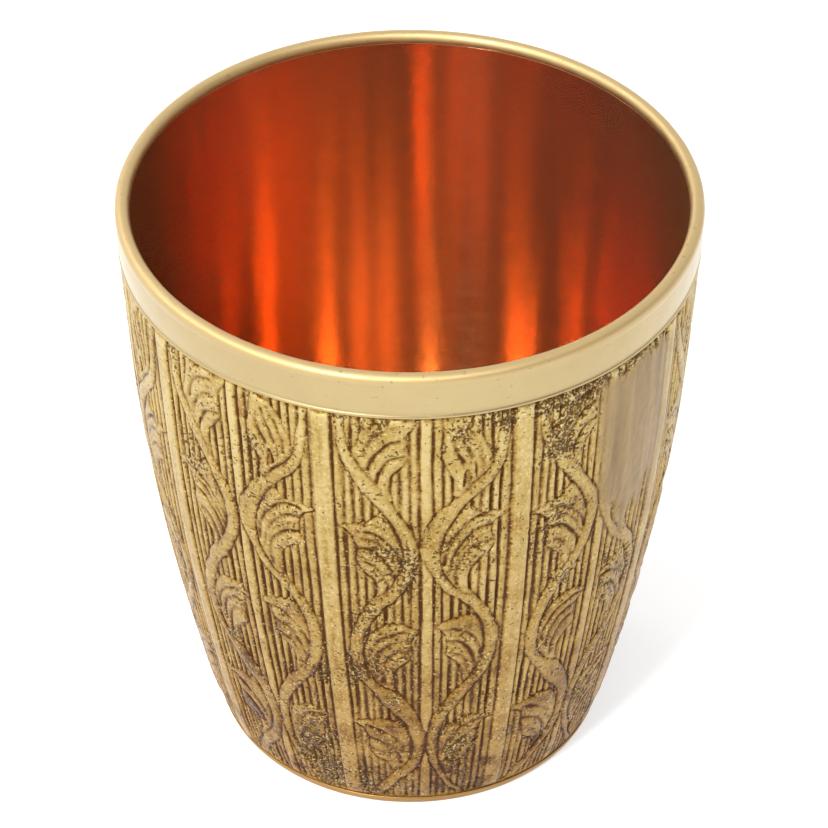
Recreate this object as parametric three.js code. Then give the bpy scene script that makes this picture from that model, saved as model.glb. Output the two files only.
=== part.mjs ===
// Double-walled drinking tumbler: a cast brass wall with a vine ornament in
// nine ribbed panels, a spun copper cup inside it, a plain polished collar over
// both upper edges, a plain foot ring and a closing disc underneath.
// Millimetres, +Z up, origin at the centre of the foot on the table.
// The front, where azimuth is 0, faces -Y; azimuth grows towards +X.
import * as THREE from 'three';

// ---- driving dimensions ----------------------------------------------------
const RIM_RADIUS = 40.0;            // largest outside radius, just below the lip
const RIM_LEVEL = 87.8;             // height of that largest circle
const LIP_TOP = 88.4;               // crest of the rounded lip
const LIP_INNER_RADIUS = 37.9;      // where one drinks from: inside of the lip
const GAP = 0.3;                    // play kept between pieces that touch

// outside silhouette: fraction of RIM_LEVEL, radius as a fraction of RIM_RADIUS
const OUTLINE = [
  [0.00, 0.688], [0.04, 0.721], [0.12, 0.768], [0.28, 0.839],
  [0.50, 0.917], [0.75, 0.971], [1.00, 1.000],
];

const BAND_BOTTOM = 81.3;           // lower edge of the collar's skirt
const SKIRT = 0.5;                  // thickness of the collar's skirt
const LIP_UNDER = 86.9;             // underside of the collar's solid head

const WALL_INNER = 1.3;             // inside of the cast wall, in from the outline
const WALL_BOTTOM = 1.9;            // lower edge of the cast wall
const WALL_TOP = 85.9;              // its upper edge, hidden under the collar
const REBATE = SKIRT + GAP;         // step cut for the collar's skirt
const RIB_CREST = 0.10;             // rib tops, in from the outline
const STRIP_CREST = 0.16;           // thin middle strips, in from the outline
const GROUND = 0.32;                // mean of the ornament between them

// the nine panels are laid out by hand and are not quite equal
const RIB_AZIMUTHS = [-57.2, -17.5, 22.4, 62.2, 102.3, 142.4, 182.5, 222.6, 262.7];
const RIB_LEAN = 1.4;               // degrees that the ribs drift, top to bottom
const RIB_HALF = 1.6;               // half width of a rib, degrees
const STRIP_HALF = 0.95;            // half width of a middle strip, degrees
const FLANK = 0.4;                  // width of their sloping sides, degrees

const LINER_OUTER = 1.6;            // outside of the copper cup, in from the outline
const LINER_INNER = 1.95;           // its inside
const LINER_TOP = 86.6;             // its upper edge, under the lip
const LINER_UNDER = 1.6;            // underside of its floor
const LINER_FLOOR = 2.05;           // top of its floor

const FOOT_TOP = 1.6;               // upper edge of the plain foot ring
const FOOT_INNER = 25.7;            // inside radius of the foot ring
const FOOT_ROUND = 0.45;            // rounding where the foot meets the table

const DISC_RADIUS = 25.4;           // closing disc
const DISC_BOTTOM = 0.5;            // recessed, so the cup stands on its ring
const DISC_TOP = 1.3;

const SEGMENTS_FINE = 96;
const SEGMENTS = 72;

// ---- the silhouette as a natural cubic spline --------------------------------
function naturalSpline(points) {
  const n = points.length;
  const x = points.map((p) => p[0]);
  const y = points.map((p) => p[1]);
  const h = [];
  for (let i = 0; i < n - 1; i += 1) h.push(x[i + 1] - x[i]);
  const diag = new Array(n).fill(1);
  const rhs = new Array(n).fill(0);
  const upper = new Array(n).fill(0);
  for (let i = 1; i < n - 1; i += 1) {
    const a = 3 * ((y[i + 1] - y[i]) / h[i] - (y[i] - y[i - 1]) / h[i - 1]);
    diag[i] = 2 * (x[i + 1] - x[i - 1]) - h[i - 1] * upper[i - 1];
    upper[i] = h[i] / diag[i];
    rhs[i] = (a - h[i - 1] * rhs[i - 1]) / diag[i];
  }
  const c = new Array(n).fill(0);
  for (let i = n - 2; i > 0; i -= 1) c[i] = rhs[i] - upper[i] * c[i + 1];
  return (t) => {
    let i = 0;
    while (i < n - 2 && t > x[i + 1]) i += 1;
    const d = t - x[i];
    const b = (y[i + 1] - y[i]) / h[i] - (h[i] * (c[i + 1] + 2 * c[i])) / 3;
    const e = (c[i + 1] - c[i]) / (3 * h[i]);
    return y[i] + b * d + c[i] * d * d + e * d * d * d;
  };
}
const unitOutline = naturalSpline(OUTLINE);
const outline = (z) => RIM_RADIUS * unitOutline(Math.min(z, RIM_LEVEL) / RIM_LEVEL);

// ---- builders ------------------------------------------------------------------
function turned(profile, segments, closed) {
  const points = profile.map(([r, z]) => new THREE.Vector2(r, z));
  if (closed) points.push(points[0].clone());
  const geometry = new THREE.LatheGeometry(points, segments);
  geometry.rotateX(Math.PI / 2);    // lathe axis from +Y to +Z
  return geometry;
}

// a ring whose section is a closed loop that may differ from azimuth to azimuth
function ringFromSections(azimuths, sectionAt) {
  const sections = azimuths.map(sectionAt);
  const m = sections[0].length;
  const n = azimuths.length;
  const position = [];
  for (let j = 0; j < n; j += 1) {
    for (const [r, z, lean] of sections[j]) {
      const a = ((azimuths[j] + lean) * Math.PI) / 180;
      position.push(r * Math.sin(a), -r * Math.cos(a), z);
    }
  }
  const index = [];
  for (let j = 0; j < n; j += 1) {
    const k = (j + 1) % n;
    for (let i = 0; i < m; i += 1) {
      const o = (i + 1) % m;
      index.push(j * m + i, k * m + i, k * m + o, j * m + i, k * m + o, j * m + o);
    }
  }
  const geometry = new THREE.BufferGeometry();
  geometry.setAttribute('position', new THREE.Float32BufferAttribute(position, 3));
  geometry.setIndex(index);
  geometry.computeVertexNormals();
  return geometry;
}

function piece(name, geometry, color, roughness) {
  const material = new THREE.MeshStandardMaterial({ color, roughness, metalness: 1 });
  const mesh = new THREE.Mesh(geometry, material);
  mesh.name = name;
  return mesh;
}

const tumbler = new THREE.Group();
tumbler.name = 'tumbler';

// ---- cast brass wall with its ribs and middle strips ----------------------------
const stations = [];
for (let i = 0; i < RIB_AZIMUTHS.length; i += 1) {
  const rib = RIB_AZIMUTHS[i];
  const next = i + 1 < RIB_AZIMUTHS.length ? RIB_AZIMUTHS[i + 1] : RIB_AZIMUTHS[0] + 360;
  const middle = (rib + next) / 2;
  const a = rib + RIB_HALF + FLANK;
  const b = middle - STRIP_HALF - FLANK;
  const c = middle + STRIP_HALF + FLANK;
  const d = next - RIB_HALF - FLANK;
  stations.push([rib - RIB_HALF, RIB_CREST], [rib + RIB_HALF, RIB_CREST]);
  stations.push([a, GROUND], [a + (b - a) / 3, GROUND], [a + ((b - a) * 2) / 3, GROUND], [b, GROUND]);
  stations.push([middle - STRIP_HALF, STRIP_CREST], [middle + STRIP_HALF, STRIP_CREST]);
  stations.push([c, GROUND], [c + (d - c) / 3, GROUND], [c + ((d - c) * 2) / 3, GROUND], [d, GROUND]);
}
const depthAt = new Map(stations);
const wallLevels = [WALL_BOTTOM, 5, 10, 17, 26, 37, 50, 66, BAND_BOTTOM - 0.25];
const wallInnerLevels = [WALL_TOP, 66, 50, 37, 26, 17, 10, 5, WALL_BOTTOM];
function wallSection(azimuth) {
  const depth = depthAt.get(azimuth);
  const loop = [];
  for (const z of wallLevels) {
    loop.push([outline(z) - depth, z, RIB_LEAN * (1 - z / RIM_LEVEL)]);
  }
  const step = wallLevels[wallLevels.length - 1];
  loop.push([outline(step) - REBATE, step, RIB_LEAN * (1 - step / RIM_LEVEL)]);
  loop.push([outline(WALL_TOP) - REBATE, WALL_TOP, RIB_LEAN * (1 - WALL_TOP / RIM_LEVEL)]);
  for (const z of wallInnerLevels) {
    loop.push([outline(z) - WALL_INNER, z, RIB_LEAN * (1 - z / RIM_LEVEL)]);
  }
  return loop;
}
tumbler.add(piece(
  'embossed_wall',
  ringFromSections(stations.map((s) => s[0]), wallSection),
  0xb9a263, 0.42,
));

// ---- spun copper cup ---------------------------------------------------------------
const cupLevels = [10, 17, 26, 37, 50, 66, LINER_TOP];
const cup = [
  [0, LINER_UNDER], [22.8, LINER_UNDER], [24.6, 2.0], [25.9, 2.95], [26.8, 4.3], [27.6, 6.2],
  ...cupLevels.map((z) => [outline(z) - LINER_OUTER, z]),
  ...cupLevels.slice().reverse().map((z) => [outline(z) - LINER_INNER, z]),
  [27.2, 6.3], [26.4, 4.5], [25.6, 3.25], [24.4, 2.4], [22.7, LINER_FLOOR], [0, LINER_FLOOR],
];
tumbler.add(piece('copper_liner', turned(cup, SEGMENTS, false), 0xb4532a, 0.3));

// ---- polished collar over both edges -------------------------------------------------
const collar = [
  [outline(BAND_BOTTOM) - 0.22, BAND_BOTTOM],
  [outline(BAND_BOTTOM) - 0.05, BAND_BOTTOM + 0.12],
  [outline(BAND_BOTTOM + 0.4), BAND_BOTTOM + 0.4],
  [outline(84.5), 84.5],
  [RIM_RADIUS, RIM_LEVEL],
  [39.86, 88.12], [39.5, 88.33], [39.0, LIP_TOP], [38.5, 88.33],
  [38.1, 88.1], [LIP_INNER_RADIUS, 87.7], [37.93, LIP_UNDER],
  [outline(LIP_UNDER) - SKIRT, LIP_UNDER],
  [outline(84.5) - SKIRT, 84.5],
  [outline(BAND_BOTTOM) - SKIRT, BAND_BOTTOM],
];
tumbler.add(piece('rim_band', turned(collar, SEGMENTS_FINE, true), 0xdcc68e, 0.22));

// ---- plain foot ring -------------------------------------------------------------------
const foot = [
  [FOOT_INNER, 0],
  [outline(0) - FOOT_ROUND, 0],
  [outline(0) - 0.12, 0.13],
  [outline(FOOT_ROUND), FOOT_ROUND],
  [outline(FOOT_TOP), FOOT_TOP],
  [FOOT_INNER, FOOT_TOP],
];
tumbler.add(piece('foot_ring', turned(foot, SEGMENTS, true), 0xd2a868, 0.3));

// ---- closing disc underneath --------------------------------------------------------------
const disc = [[0, DISC_BOTTOM], [DISC_RADIUS, DISC_BOTTOM], [DISC_RADIUS, DISC_TOP], [0, DISC_TOP]];
tumbler.add(piece('base_disc', turned(disc, SEGMENTS, false), 0xc09a58, 0.4));

// ---- solder seams, hidden in the joints ------------------------------------------------------
const rimSeam = [[38.65, 86.2], [39.05, 86.2], [39.05, 86.6], [38.65, 86.6]];
tumbler.add(piece('rim_solder', turned(rimSeam, SEGMENTS, true), 0xaaa9a4, 0.5));
const baseSeam = [[26.0, 1.95], [26.55, 1.95], [26.55, 2.5], [26.0, 2.5]];
tumbler.add(piece('base_solder', turned(baseSeam, SEGMENTS, true), 0xaaa9a4, 0.5));

export default tumbler;
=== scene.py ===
import math

import bpy
import numpy as np
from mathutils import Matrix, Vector


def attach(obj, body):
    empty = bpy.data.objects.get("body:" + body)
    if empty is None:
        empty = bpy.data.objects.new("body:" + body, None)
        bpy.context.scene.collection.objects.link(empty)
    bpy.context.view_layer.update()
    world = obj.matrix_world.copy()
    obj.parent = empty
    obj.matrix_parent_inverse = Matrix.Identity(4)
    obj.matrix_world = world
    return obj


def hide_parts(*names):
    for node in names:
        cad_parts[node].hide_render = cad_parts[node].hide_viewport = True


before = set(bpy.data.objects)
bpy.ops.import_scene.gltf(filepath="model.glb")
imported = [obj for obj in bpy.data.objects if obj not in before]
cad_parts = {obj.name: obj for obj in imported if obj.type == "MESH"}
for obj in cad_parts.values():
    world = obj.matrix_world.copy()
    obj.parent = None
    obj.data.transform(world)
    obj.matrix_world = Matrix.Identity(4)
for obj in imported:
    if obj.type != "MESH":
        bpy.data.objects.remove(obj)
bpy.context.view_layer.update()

# =====================================================================================
# Shared dimensions, the same as the solids': millimetres here, metres in the meshes.
# Azimuth 0 is the front (-Y) and grows towards +X.
# =====================================================================================
RIM_R, RIM_Z, LIP_TOP = 40.0, 87.8, 88.4
BAND_BOTTOM = 81.3
RIBS = [-57.2, -17.5, 22.4, 62.2, 102.3, 142.4, 182.5, 222.6, 262.7]
RIB_LEAN = 1.4
TURN = 360.0


def natural(xk, yk):
    """Natural cubic spline through the knots."""
    n = len(xk)
    h = np.diff(xk)
    A, b = np.eye(n), np.zeros(n)
    for i in range(1, n - 1):
        A[i, i - 1], A[i, i], A[i, i + 1] = h[i - 1], 2 * (h[i - 1] + h[i]), h[i]
        b[i] = 3 * ((yk[i + 1] - yk[i]) / h[i] - (yk[i] - yk[i - 1]) / h[i - 1])
    c = np.linalg.solve(A, b)

    def f(t):
        t = np.asarray(t, float)
        i = np.clip(np.searchsorted(xk, t, side="right") - 1, 0, n - 2)
        d = t - xk[i]
        s = (yk[i + 1] - yk[i]) / h[i] - h[i] * (c[i + 1] + 2 * c[i]) / 3
        return yk[i] + s * d + c[i] * d * d + (c[i + 1] - c[i]) / (3 * h[i]) * d**3

    return f


_unit = natural(
    np.array([0.00, 0.04, 0.12, 0.28, 0.50, 0.75, 1.00]),
    np.array([0.688, 0.721, 0.768, 0.839, 0.917, 0.971, 1.000]),
)


def outline(z):
    return RIM_R * _unit(np.minimum(np.asarray(z, float), RIM_Z) / RIM_Z)


def smoothstep(x, a, b):
    t = np.clip((x - a) / (b - a), 0.0, 1.0)
    return t * t * (3 - 2 * t)


# ---- seeded value noise on (millimetres round, height), periodic round the cup --------
def noise(az, z, cell_deg, cell_z, seed):
    """Smooth noise in -1..1. az in degrees; the pattern closes after a full turn."""
    n = max(3, int(round(TURN / cell_deg)))
    m = int(100.0 / cell_z) + 8
    g = np.random.default_rng(seed).uniform(-1, 1, (m, n))
    x = (np.mod(az, TURN) / TURN) * n
    y = np.clip(z / cell_z + 3, 0, m - 2.001)
    i, j = np.floor(x).astype(int), np.floor(y).astype(int)
    fx, fy = x - i, y - j
    fx, fy = fx * fx * (3 - 2 * fx), fy * fy * (3 - 2 * fy)
    i0, i1 = i % n, (i + 1) % n
    a = g[j, i0] * (1 - fx) + g[j, i1] * fx
    b = g[j + 1, i0] * (1 - fx) + g[j + 1, i1] * fx
    return a * (1 - fy) + b * fy


def fractal(az, z, cell_mm, seed, octaves=4, stretch=1.0):
    out, amp, total = 0.0, 1.0, 0.0
    for k in range(octaves):
        s = cell_mm / 2**k
        out = out + amp * noise(az, z, math.degrees(s / 37.0), s * stretch, seed + 17 * k)
        total += amp
        amp *= 0.55
    return out / total


# =====================================================================================
# The ornament of one panel: control points (u, z), u across the panel from rib to rib,
# z in millimetres. Two mirrored climbing stems with curled leaves.
# =====================================================================================
STEM_L_IN = [(.125,84),(.117,79.5),(.128,76.8),(.15,75.2),(.185,73.2),(.235,71.2),(.29,69.0),(.34,66.3),(.367,64.5),(.404,62.9),(.435,61.3),(.458,59.5),(.469,57.6),(.47,55.8),(.458,53.8),(.435,51.7),(.404,50.1),(.372,48.5),(.345,47.2),(.308,46.3),(.276,45.1),(.245,43.6),(.215,42.0),(.185,40.2),(.168,38.2),(.16,36),(.163,34),(.18,32),(.21,30.4),(.25,29.2),(.30,28.2),(.34,27.6),(.376,26.3),(.413,24.9),(.44,23.5),(.467,22),(.49,19.9),(.504,18.1),(.508,15.8),(.499,13.1),(.485,11.3),(.458,9.9),(.431,9.2),(.395,8.1),(.363,7.2),(.331,6.3),(.299,5.1),(.258,3.8),(.222,2.6),(.19,1),(.16,-1)]
STEM_L_OUT = [(.072,84),(.076,79.5),(.081,76.3),(.099,73.8),(.122,72.2),(.154,70.4),(.185,68.5),(.222,67.1),(.254,65.8),(.295,64),(.331,62.3),(.36,60.6),(.385,58.6),(.395,56.6),(.39,54.6),(.37,52.8),(.34,51),(.30,49.4),(.254,48.1),(.231,47.2),(.204,46.3),(.176,44.7),(.149,43.3),(.122,41.7),(.102,39.9),(.09,38.1),(.081,36.3),(.084,34.5),(.09,32.6),(.113,31),(.145,29.5),(.185,27.9),(.222,26.3),(.263,24.5),(.304,23.1),(.34,22),(.38,20.6),(.405,19),(.42,17),(.42,14.8),(.41,12.8),(.38,11),(.34,9.6),(.30,8.4),(.258,7.2),(.213,5.8),(.176,4.7),(.14,3.2),(.11,1.5),(.08,-1)]
STEM_R_IN = [(.885,84),(.881,79.5),(.867,76.7),(.854,74.5),(.835,72.4),(.80,70.9),(.763,69.9),(.722,68.8),(.685,67.6),(.649,66.5),(.608,65.4),(.576,64.5),(.549,63.3),(.522,62),(.499,60.4),(.485,58.5),(.483,56.7),(.494,55.4),(.517,53.8),(.545,52.2),(.576,50.6),(.604,49.2),(.64,48.1),(.676,47.3),(.704,46.5),(.74,45.3),(.772,44),(.80,42.4),(.822,40.4),(.833,38.2),(.832,36),(.82,34),(.80,32.2),(.77,30.6),(.73,29.2),(.70,28.2),(.67,27.4),(.64,26.5),(.604,24.9),(.567,23.3),(.535,21.5),(.522,19.5),(.513,17.2),(.511,14.9),(.517,12.6),(.535,10.8),(.567,9),(.604,7.2),(.645,5.4),(.685,3.8),(.74,2.4),(.76,1),(.80,-1)]
STEM_R_OUT = [(.93,84),(.926,79.5),(.922,76.3),(.908,73.8),(.885,71.7),(.858,70.1),(.822,68.8),(.785,67.6),(.749,66.5),(.713,65.4),(.676,64),(.64,62.2),(.61,60.2),(.588,58),(.582,56),(.588,54),(.61,52),(.645,50.4),(.69,49.2),(.735,48.4),(.785,47),(.817,45.8),(.849,44.5),(.881,42.4),(.904,40.4),(.915,38.1),(.913,35.8),(.904,34),(.881,32.2),(.849,30.4),(.813,28.8),(.776,27.4),(.74,26),(.704,24.7),(.667,23.3),(.635,21.7),(.608,19.9),(.59,18.1),(.581,15.8),(.583,13.6),(.595,11.3),(.622,9.5),(.658,7.4),(.695,5.4),(.75,3.6),(.80,2),(.86,-1)]
LEAVES = [
    [(.15,75.2),(.175,76.6),(.19,78.2),(.205,80.2),(.23,84),(.47,84),(.462,80.6),(.445,79.4),(.426,78.6),(.417,77.2),(.42,75.4),(.417,74),(.395,72.9),(.363,71.7),(.34,70.8),(.331,69.5),(.333,68.1),(.345,66.5),(.30,67.2),(.24,70),(.19,72.5)],
    [(.64,67.2),(.645,68.2),(.645,69.5),(.626,70.8),(.604,72.2),(.59,73.5),(.59,75.4),(.60,77.2),(.608,79),(.613,80.6),(.62,84),(.72,84),(.735,80.6),(.765,79),(.794,77.2),(.826,74.9),(.835,72.6),(.80,70.5),(.74,69),(.68,67)],
    [(.052,61),(.104,61.6),(.158,62),(.204,62.3),(.24,62.9),(.272,64),(.31,63.6),(.36,60.6),(.395,57),(.37,52.8),(.31,49.2),(.254,48.1),(.254,48.6),(.258,50.1),(.235,51.5),(.204,52.4),(.167,53.5),(.151,54.9),(.156,56.7),(.147,58.3),(.126,59.7),(.094,60.5)],
    [(.935,63),(.849,63.4),(.785,63.7),(.735,64.8),(.70,65),(.64,62.2),(.588,58),(.588,54),(.645,50.4),(.70,48.6),(.748,48.2),(.735,49),(.726,50.8),(.735,52.6),(.758,54.2),(.804,55.4),(.84,56.3),(.852,57.6),(.849,59.5),(.858,61.3),(.881,62.2)],
    [(.467,41.3),(.422,42),(.385,42.5),(.34,42.5),(.295,42.3),(.249,41.5),(.215,40.6),(.17,38),(.16,35),(.19,31.5),(.25,29),(.325,28.2),(.317,28.8),(.308,30.1),(.313,31.3),(.331,32.6),(.358,33.5),(.395,34.5),(.413,35.4),(.408,36.7),(.404,38.5),(.422,39.7),(.449,40.6)],
    [(.562,42),(.617,43),(.667,43.4),(.713,43.9),(.758,43.7),(.79,43),(.83,39),(.83,35),(.80,32),(.74,29.4),(.69,28),(.67,27.4),(.70,28),(.72,29.4),(.722,30.4),(.717,32.2),(.695,33.8),(.658,34.7),(.626,35.8),(.62,37.9),(.613,39.7),(.59,41)],
    [(.056,20.2),(.122,20.7),(.185,21.1),(.249,21.6),(.304,21.3),(.35,21),(.41,18),(.42,15),(.39,11.3),(.33,9.4),(.275,8),(.28,9.9),(.254,11.3),(.213,11.7),(.176,12.6),(.154,14.5),(.145,16.7),(.131,18.5),(.095,19.4)],
    [(.935,20.3),(.867,20.9),(.804,21.4),(.74,21.2),(.69,20.4),(.64,19.8),(.59,17),(.585,13),(.61,10.5),(.65,8.2),(.685,7.6),(.69,9),(.713,10.4),(.758,11.7),(.804,13.1),(.835,14.9),(.849,17.2),(.867,19.2),(.90,19.9)],
]
HOLES = [
    [(.266,69.2),(.258,70.4),(.272,71.5),(.295,72.1),(.288,71.0),(.279,70.0),(.274,69.2)],
    [(.69,68.9),(.692,70.4),(.70,71.7),(.716,72),(.728,71),(.738,70.1),(.72,69.5),(.705,69.2)],
    [(.748,71.0),(.749,73.3),(.757,73.4),(.763,71.6),(.757,70.4)],
]
VEINS = [
    ([(.213,74.9),(.235,77.0),(.275,78.6),(.331,79.4),(.37,79.8)], .75),
    ([(.235,72.2),(.25,73.8),(.285,75.6),(.331,76.8),(.385,77.3)], .9),
    ([(.29,71.7),(.313,73.1),(.349,74.1),(.398,74.5)], .9),
    ([(.69,73.2),(.665,74.6),(.65,76.2),(.648,78)], .8),
    ([(.735,73.8),(.72,75.4),(.70,77),(.685,79)], .8),
    ([(.79,72.2),(.785,74.2),(.77,76),(.745,77.8),(.715,79.6)], .8),
    ([(.12,60.9),(.167,60.6),(.231,60.4),(.304,58.8),(.355,57.0),(.385,54.9)], .85),
    ([(.167,57.4),(.24,56.9),(.304,54.9),(.345,52.8),(.355,50.6)], 1.),
    ([(.195,54.8),(.249,53.8),(.295,51.7),(.31,49.6)], .9),
    ([(.19,59.2),(.26,58.6),(.32,56.8),(.36,54.2)], .6),
    ([(.855,62.6),(.80,62.9),(.758,62.7),(.695,61.3),(.64,59.0),(.612,56.7),(.605,54.6)], 1.),
    ([(.845,60.9),(.80,61.0),(.749,60.2),(.685,58.0),(.648,55.8),(.632,53.4)], .85),
    ([(.835,58.2),(.78,57.9),(.722,56.7),(.676,54.9),(.66,52.6),(.668,50.6)], .9),
    ([(.80,59.6),(.75,58.9),(.70,57.2),(.665,55.2)], .5),
    ([(.43,40.9),(.39,41.0),(.322,40.4),(.249,39.0),(.205,36.9),(.19,34.6)], .85),
    ([(.398,39.0),(.36,39.0),(.322,38.6),(.265,37.2),(.234,34.9),(.226,32.9)], .9),
    ([(.39,36.9),(.355,36.9),(.322,36.3),(.28,34.5),(.262,32.2),(.264,30.2)], .9),
    ([(.60,41.1),(.64,41.2),(.685,40.8),(.758,39.3),(.80,37.3),(.822,35.0)], .85),
    ([(.632,38.6),(.695,38.1),(.749,36.3),(.783,34.0),(.79,31.9)], 1.),
    ([(.65,36.0),(.71,35.2),(.748,33.4),(.757,31.2)], .9),
    ([(.14,19.6),(.20,19.0),(.26,18.2),(.33,16.6),(.375,14.2)], .8),
    ([(.155,16.6),(.21,16.2),(.28,15.2),(.33,13.2),(.345,11.2)], .8),
    ([(.17,14.0),(.22,13.6),(.27,12.6),(.295,11.0)], .7),
    ([(.87,20.0),(.80,19.9),(.73,19.0),(.66,17.0),(.625,14.2)], .8),
    ([(.845,17.8),(.78,17.4),(.72,16.0),(.67,13.8),(.65,11.4)], .8),
    ([(.82,15.0),(.76,14.4),(.71,12.8),(.685,10.8)], .7),
]
SEAMS = [
    ([(.254,65.8),(.295,64),(.331,62.3),(.36,60.4),(.382,58.4),(.392,56.4)], .75),
    ([(.749,66.5),(.713,65.4),(.676,64),(.64,62.2),(.61,60.2),(.592,58)], .8),
    ([(.235,43.0),(.20,41.0),(.175,38.8),(.163,36.2),(.165,34)], .55),
    ([(.785,43.2),(.81,41.2),(.828,38.6),(.83,36)], .5),
    ([(.34,21.9),(.38,20.5),(.403,19),(.418,17)], .55),
    ([(.667,23.1),(.635,21.5),(.61,19.8),(.592,18)], .55),
    ([(.15,75.2),(.185,73.2),(.235,71.0),(.285,69.0)], .5),
    ([(.835,72.4),(.80,70.9),(.763,69.9),(.722,68.8)], .65),
]
GROOVES = np.array([.055,.103,.150,.197,.243,.290,.337,.382,.430,.477,.548,.596,.645,.692,.741,.790,.838,.886,.937])

PANEL_RAD = math.radians(40.0)
LATTICE = 0.1


def panel_width(z):
    return (outline(np.clip(z, 0, RIM_Z)) - 0.25) * PANEL_RAD


def smooth_line(points, closed=False, step=0.35):
    p = np.array(points, float)
    q = np.stack([(p[:, 0] - 0.5) * panel_width(p[:, 1]), p[:, 1]], 1)
    if closed:
        q = np.vstack([q[-1], q, q[0], q[1]])
    else:
        q = np.vstack([2 * q[0] - q[1], q, 2 * q[-1] - q[-2]])
    out = []
    for i in range(1, len(q) - 2):
        n = max(2, int(np.ceil(np.linalg.norm(q[i + 1] - q[i]) / step)))
        t = np.linspace(0, 1, n, endpoint=False)[:, None]
        a, b, c, d = q[i - 1], q[i], q[i + 1], q[i + 2]
        out.append(0.5 * (2 * b + (c - a) * t + (2 * a - 5 * b + 4 * c - d) * t**2
                          + (3 * b - a - 3 * c + d) * t**3))
    return np.vstack(out + [q[-2:-1]])


class Lattice:
    """A flat lattice over one panel, X = (u - 0.5) * panel width, in millimetres."""

    def __init__(self):
        self.x = np.arange(-15.0, 15.0 + LATTICE / 2, LATTICE)
        self.z = np.arange(-1.0, 84.0 + LATTICE / 2, LATTICE)
        self.X, self.Z = np.meshgrid(self.x, self.z)

    def distance(self, pts, pad=3.0, far=9.0):
        out = np.full(self.X.shape, far)
        for k in range(0, len(pts) - 1, 12):
            seg = pts[k:k + 13]
            lo, hi = seg.min(0) - pad, seg.max(0) + pad
            a = np.clip(np.searchsorted(self.x, [lo[0], hi[0]]), 0, len(self.x))
            b = np.clip(np.searchsorted(self.z, [lo[1], hi[1]]), 0, len(self.z))
            w = (slice(b[0], b[1]), slice(a[0], a[1]))
            X, Z = self.X[w], self.Z[w]
            if X.size == 0:
                continue
            best = out[w]
            for p, q in zip(seg[:-1], seg[1:]):
                d = q - p
                t = np.clip(((X - p[0]) * d[0] + (Z - p[1]) * d[1]) / max((d**2).sum(), 1e-12), 0, 1)
                best = np.minimum(best, np.hypot(X - p[0] - t * d[0], Z - p[1] - t * d[1]))
            out[w] = best
        return out

    def signed(self, pts):
        """Distance to a closed outline, negative inside."""
        px, pz = pts[:, 0], pts[:, 1]
        qx, qz = np.roll(px, -1), np.roll(pz, -1)
        inside = np.zeros(self.X.shape, bool)
        for i, z in enumerate(self.z):
            m = (pz > z) != (qz > z)
            if m.any():
                xs = np.sort(px[m] + (z - pz[m]) / (qz[m] - pz[m]) * (qx[m] - px[m]))
                inside[i] = np.searchsorted(xs, self.x) % 2 == 1
        d = self.distance(np.vstack([pts, pts[:1]]))
        return np.where(inside, -d, d)


def draw_panel():
    lat = Lattice()
    stems = []
    for a, b in ((STEM_L_IN, STEM_L_OUT), (STEM_R_IN, STEM_R_OUT)):
        stems.append(lat.signed(np.vstack([smooth_line(a), smooth_line(b)[::-1]])))
    leaf = np.full(lat.X.shape, 9.0)
    for pts in LEAVES:
        leaf = np.minimum(leaf, lat.signed(smooth_line(pts, closed=True)[:-1]))
    hole = np.full(lat.X.shape, 9.0)
    for pts in HOLES:
        hole = np.minimum(hole, lat.signed(smooth_line(pts, closed=True)[:-1]))
    vein = np.zeros(lat.X.shape)
    for pts, depth in VEINS:
        d = lat.distance(smooth_line(pts), 1.6)
        vein = np.maximum(vein, depth * np.exp(-((d / 0.37) ** 2)))
    seam = np.zeros(lat.X.shape)
    for pts, depth in SEAMS:
        d = lat.distance(smooth_line(pts), 1.6)
        seam = np.maximum(seam, depth * np.exp(-((d / 0.24) ** 2)))
    return lat, {"stem": np.minimum(*stems), "leaf": leaf, "hole": hole, "vein": vein, "seam": seam}


def sample(lat, field, X, Z):
    x = np.clip((X - lat.x[0]) / LATTICE, 0, len(lat.x) - 1.001)
    z = np.clip((Z - lat.z[0]) / LATTICE, 0, len(lat.z) - 1.001)
    i, j = x.astype(int), z.astype(int)
    fx, fz = x - i, z - j
    return ((field[j, i] * (1 - fx) + field[j, i + 1] * fx) * (1 - fz)
            + (field[j + 1, i] * (1 - fx) + field[j + 1, i + 1] * fx) * fz)


# =====================================================================================
# The wall's surface: height above the outline (negative, mm) and what covers it
# =====================================================================================
COLUMNS = 160                       # per panel
WALL_LOW, WALL_HIGH = 1.66, BAND_BOTTOM - 0.02
ROWS = 450


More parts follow.
